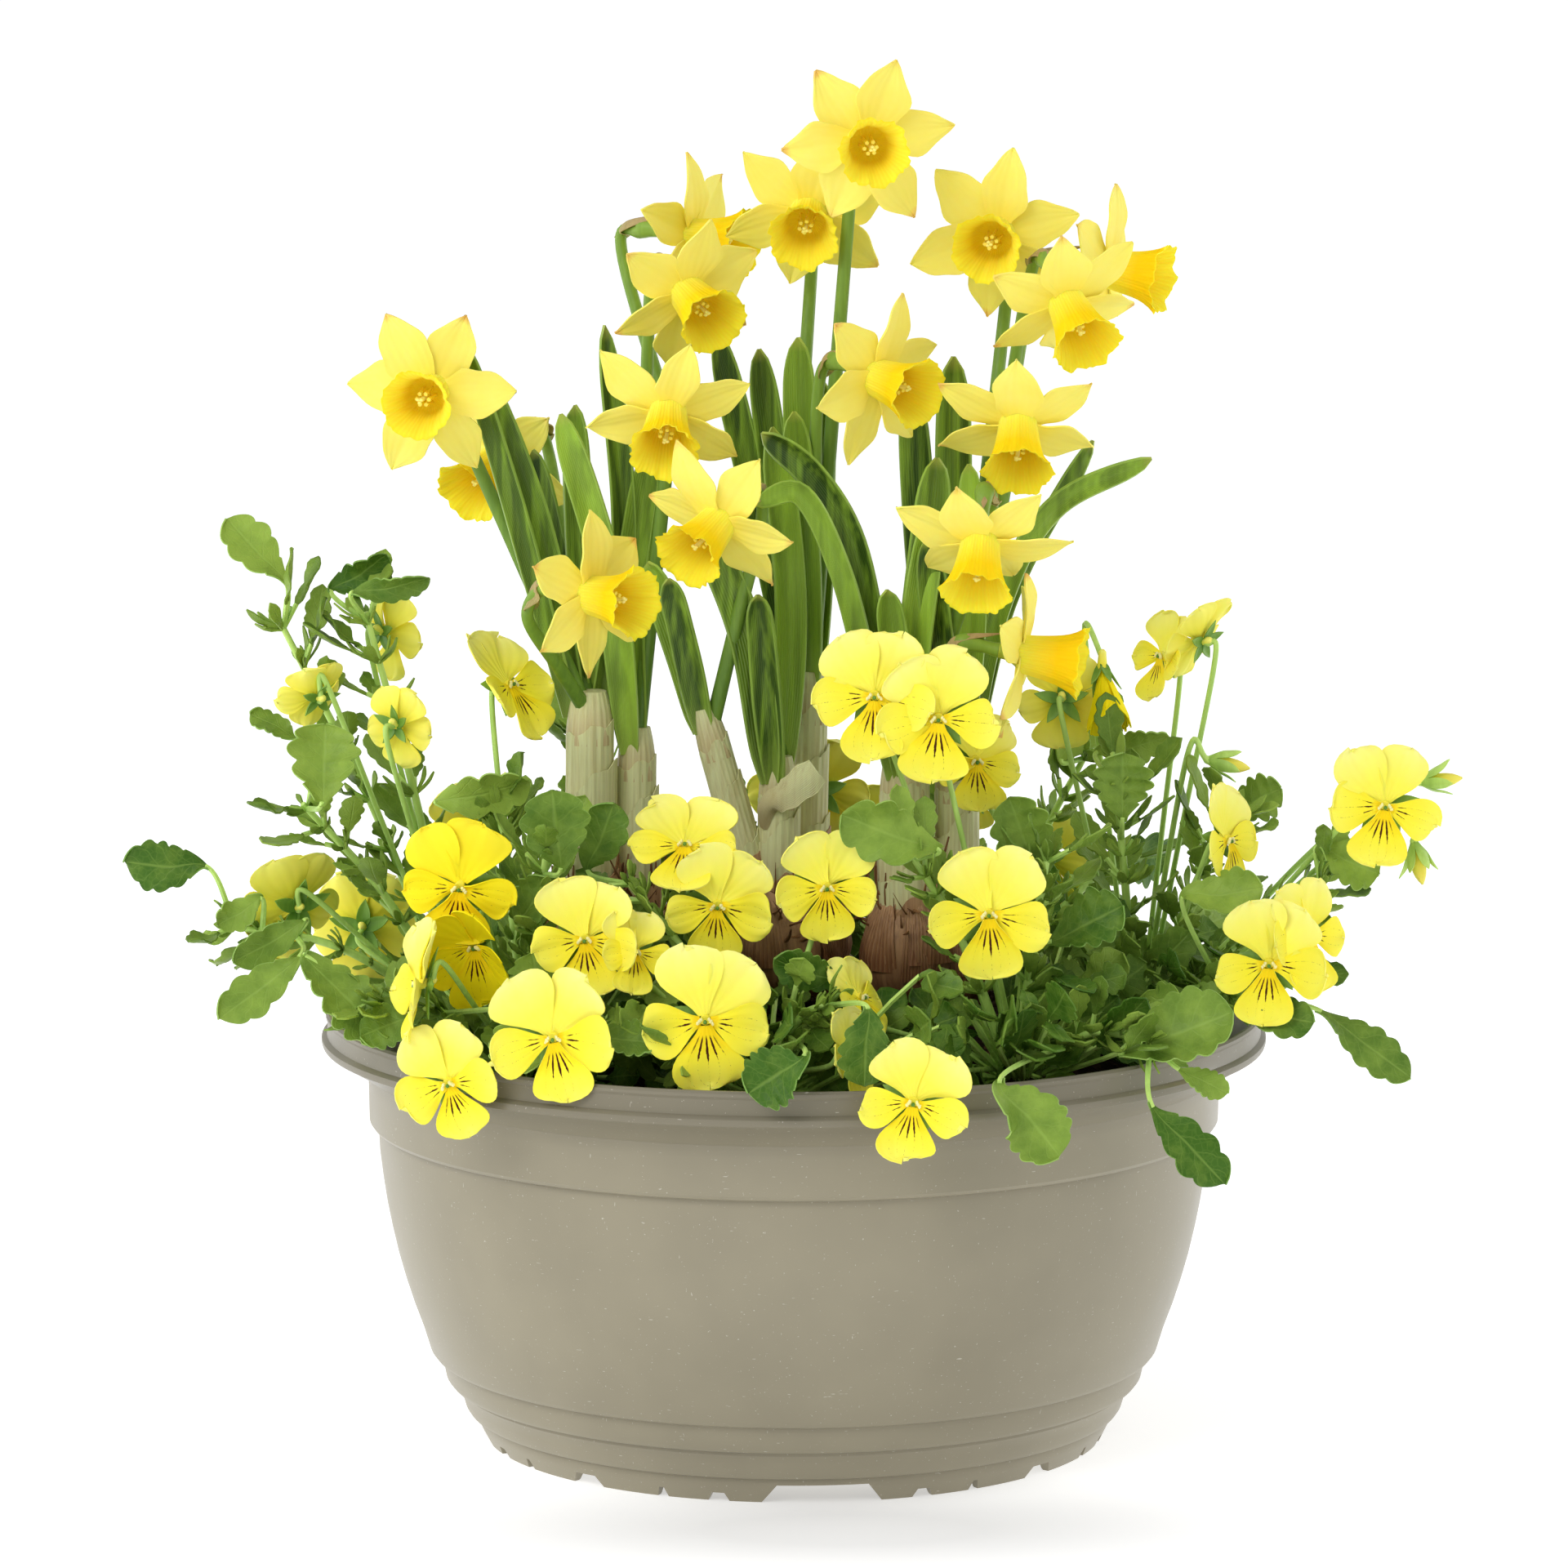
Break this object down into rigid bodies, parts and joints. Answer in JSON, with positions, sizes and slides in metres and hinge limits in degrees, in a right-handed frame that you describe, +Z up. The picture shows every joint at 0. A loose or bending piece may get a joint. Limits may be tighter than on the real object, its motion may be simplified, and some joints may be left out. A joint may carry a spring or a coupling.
{
  "type": "potted daffodil and pansy planter",
  "caption": "Shallow moulded plastic bowl planted with miniature daffodils in flower in the middle and small yellow pansies round the edge, some hanging over the rim.",
  "frame": {"origin": "on the ground, under the middle of the bowl", "axes": "+Z up, -Y towards the front that the planting faces, +X to the right as seen from the front"},
  "size_m": [0.3806, 0.286, 0.3946],
  "materials": {
    "bowl_plastic": "moulded polypropylene in a warm grey, satin, with fine scuffs",
    "growing_mix": "dark moist peat and bark crumbs",
    "bulb_skin": "dry papery brown skin, and pale sheaths round the necks",
    "daffodil_leaf": "waxy strap leaves and stems, ribbed along their length",
    "viola_leaf": "soft mid green leaves with a pale net of veins",
    "daffodil_petal": "thin lemon petals and a deeper yellow frilled trumpet",
    "viola_petal": "velvety lemon petals with fine brown lines and an orange throat"
  },
  "bodies": {
    "root": {"bowl": "bowl_plastic", "bulbs_centre": "bulb_skin", "bulbs_left": "bulb_skin", "bulbs_right": "bulb_skin", "daffodil_centre": "daffodil_petal", "daffodil_far_left": "daffodil_petal", "daffodil_far_left_back": "daffodil_petal", "daffodil_far_right": "daffodil_petal", "daffodil_front_left": "daffodil_petal", "daffodil_front_left_low": "daffodil_petal", "daffodil_front_right": "daffodil_petal", "daffodil_front_right_low": "daffodil_petal", "daffodil_left": "daffodil_petal", "daffodil_left_back": "daffodil_petal", "daffodil_low_left": "daffodil_petal", "daffodil_low_right": "daffodil_petal", "daffodil_right": "daffodil_petal", "daffodil_right_low": "daffodil_petal", "daffodil_top": "daffodil_petal", "daffodil_top_back": "daffodil_petal", "plant_back_left": "viola_leaf", "plant_back_right": "viola_leaf", "plant_front": "viola_leaf", "plant_left": "viola_leaf", "plant_left_front": "viola_leaf", "plant_right": "viola_leaf", "plant_right_front": "viola_leaf", "shoot_centre": "daffodil_leaf", "shoot_left": "daffodil_leaf", "shoot_right": "daffodil_leaf", "soil": "growing_mix", "viola_v01": "viola_petal", "viola_v02": "viola_petal", "viola_v03": "viola_petal", "viola_v04": "viola_petal", "viola_v05": "viola_petal", "viola_v08": "viola_petal", "viola_v10": "viola_petal", "viola_v12": "viola_petal", "viola_v13": "viola_petal", "viola_v14": "viola_petal", "viola_v16": "viola_petal", "viola_v18": "viola_petal", "viola_v19": "viola_petal", "viola_v20": "viola_petal", "viola_v21": "viola_petal", "viola_v22": "viola_petal", "viola_v23": "viola_petal", "viola_v24": "viola_petal", "viola_v26": "viola_petal", "viola_v27": "viola_petal", "viola_v28": "viola_petal", "viola_v30": "viola_petal", "viola_v32": "viola_petal", "viola_v34": "viola_petal", "viola_v35": "viola_petal", "viola_v36": "viola_petal", "viola_v41": "viola_petal", "viola_v42": "viola_petal", "viola_v44": "viola_petal"}
  },
  "joints": []
}
